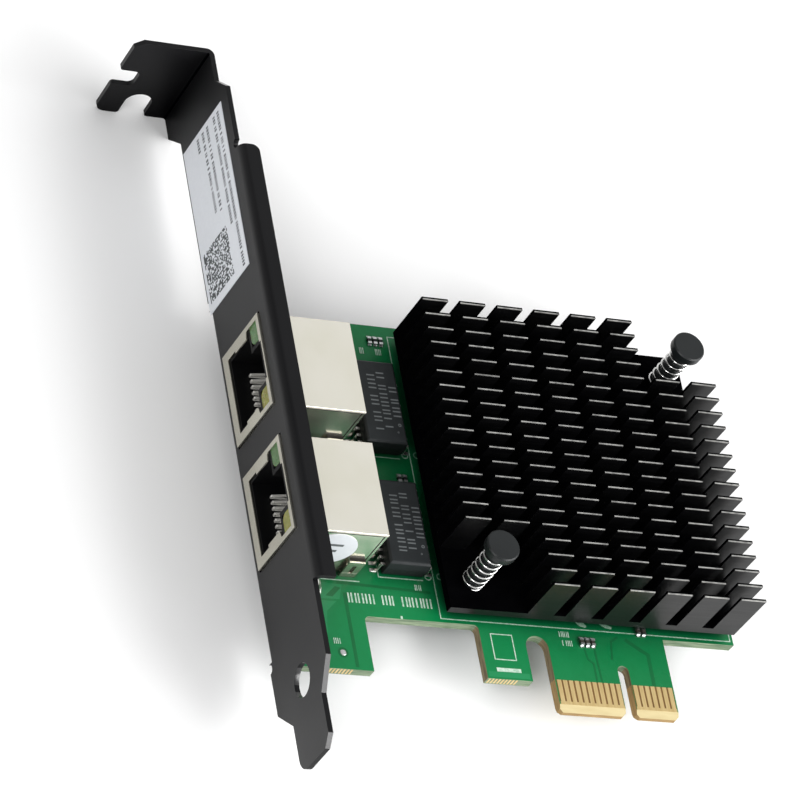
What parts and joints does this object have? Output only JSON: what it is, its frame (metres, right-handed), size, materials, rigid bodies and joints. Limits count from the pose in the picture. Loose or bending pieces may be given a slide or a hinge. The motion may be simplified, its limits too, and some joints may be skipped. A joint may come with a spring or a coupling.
{
  "type": "network interface card",
  "caption": "Expansion card with shielded network jacks, a folded mounting bracket and a pin-fin heat sink held by sprung push pins.",
  "frame": {"origin": "middle of the key notch, at the lower edge of the edge contacts, on the component face of the board", "axes": "+X away from the bracket along the card, +Y away from the edge contacts, +Z out of the component face"},
  "size_m": [0.0899, 0.12, 0.0222],
  "materials": {
    "board": "satin solder mask",
    "gold": "plated",
    "black_steel": "satin powder coat",
    "label_paper": "matt",
    "bright_metal": "plated",
    "black_aluminium": "anodised",
    "chip_plastic": "matt",
    "thermal_pad": "matt",
    "ferrite": "matt",
    "ceramic": "matt",
    "nickel_shield": "satin nickel",
    "socket_plastic": "matt",
    "green_lamp": "translucent",
    "yellow_lamp": "translucent",
    "spring_steel": "bright",
    "pin_plastic": "satin"
  },
  "bodies": {
    "card": {"bracket": "black_steel", "bracket_label": "label_paper", "bracket_screws": "bright_metal", "chip_capacitors": "ceramic", "chip_resistors": "chip_plastic", "controller_chip_1": "chip_plastic", "controller_chip_2": "chip_plastic", "crystals": "bright_metal", "edge_contacts": "gold", "heat_sink": "black_aluminium", "inspection_sticker": "label_paper", "jack_1_contacts": "gold", "jack_1_green_lamp": "green_lamp", "jack_1_housing": "socket_plastic", "jack_1_shield": "nickel_shield", "jack_1_yellow_lamp": "yellow_lamp", "jack_2_contacts": "gold", "jack_2_green_lamp": "green_lamp", "jack_2_housing": "socket_plastic", "jack_2_shield": "nickel_shield", "jack_2_yellow_lamp": "yellow_lamp", "magnetics_1": "chip_plastic", "magnetics_1_leads": "bright_metal", "magnetics_2": "chip_plastic", "magnetics_2_leads": "bright_metal", "pcb": "board", "power_coils": "ferrite", "push_pin_spring_1": "spring_steel", "push_pin_spring_2": "spring_steel", "switch_chip": "chip_plastic", "thermal_pads": "thermal_pad"},
    "pin_1": {"push_pin_1": "pin_plastic"},
    "pin_2": {"push_pin_2": "pin_plastic"}
  },
  "joints": [
    {"name": "pin_1_press", "type": "slide", "parent": "card", "child": "pin_1", "axis": [0, 0, 1], "range_m": [-0.0018, 0], "stiffness_N_per_m": 1500, "springref_m": 0.003, "deforming": ["push_pin_spring_1"]},
    {"name": "pin_2_press", "type": "slide", "parent": "card", "child": "pin_2", "axis": [0, 0, 1], "range_m": [-0.0018, 0], "stiffness_N_per_m": 1500, "springref_m": 0.003, "deforming": ["push_pin_spring_2"]}
  ]
}
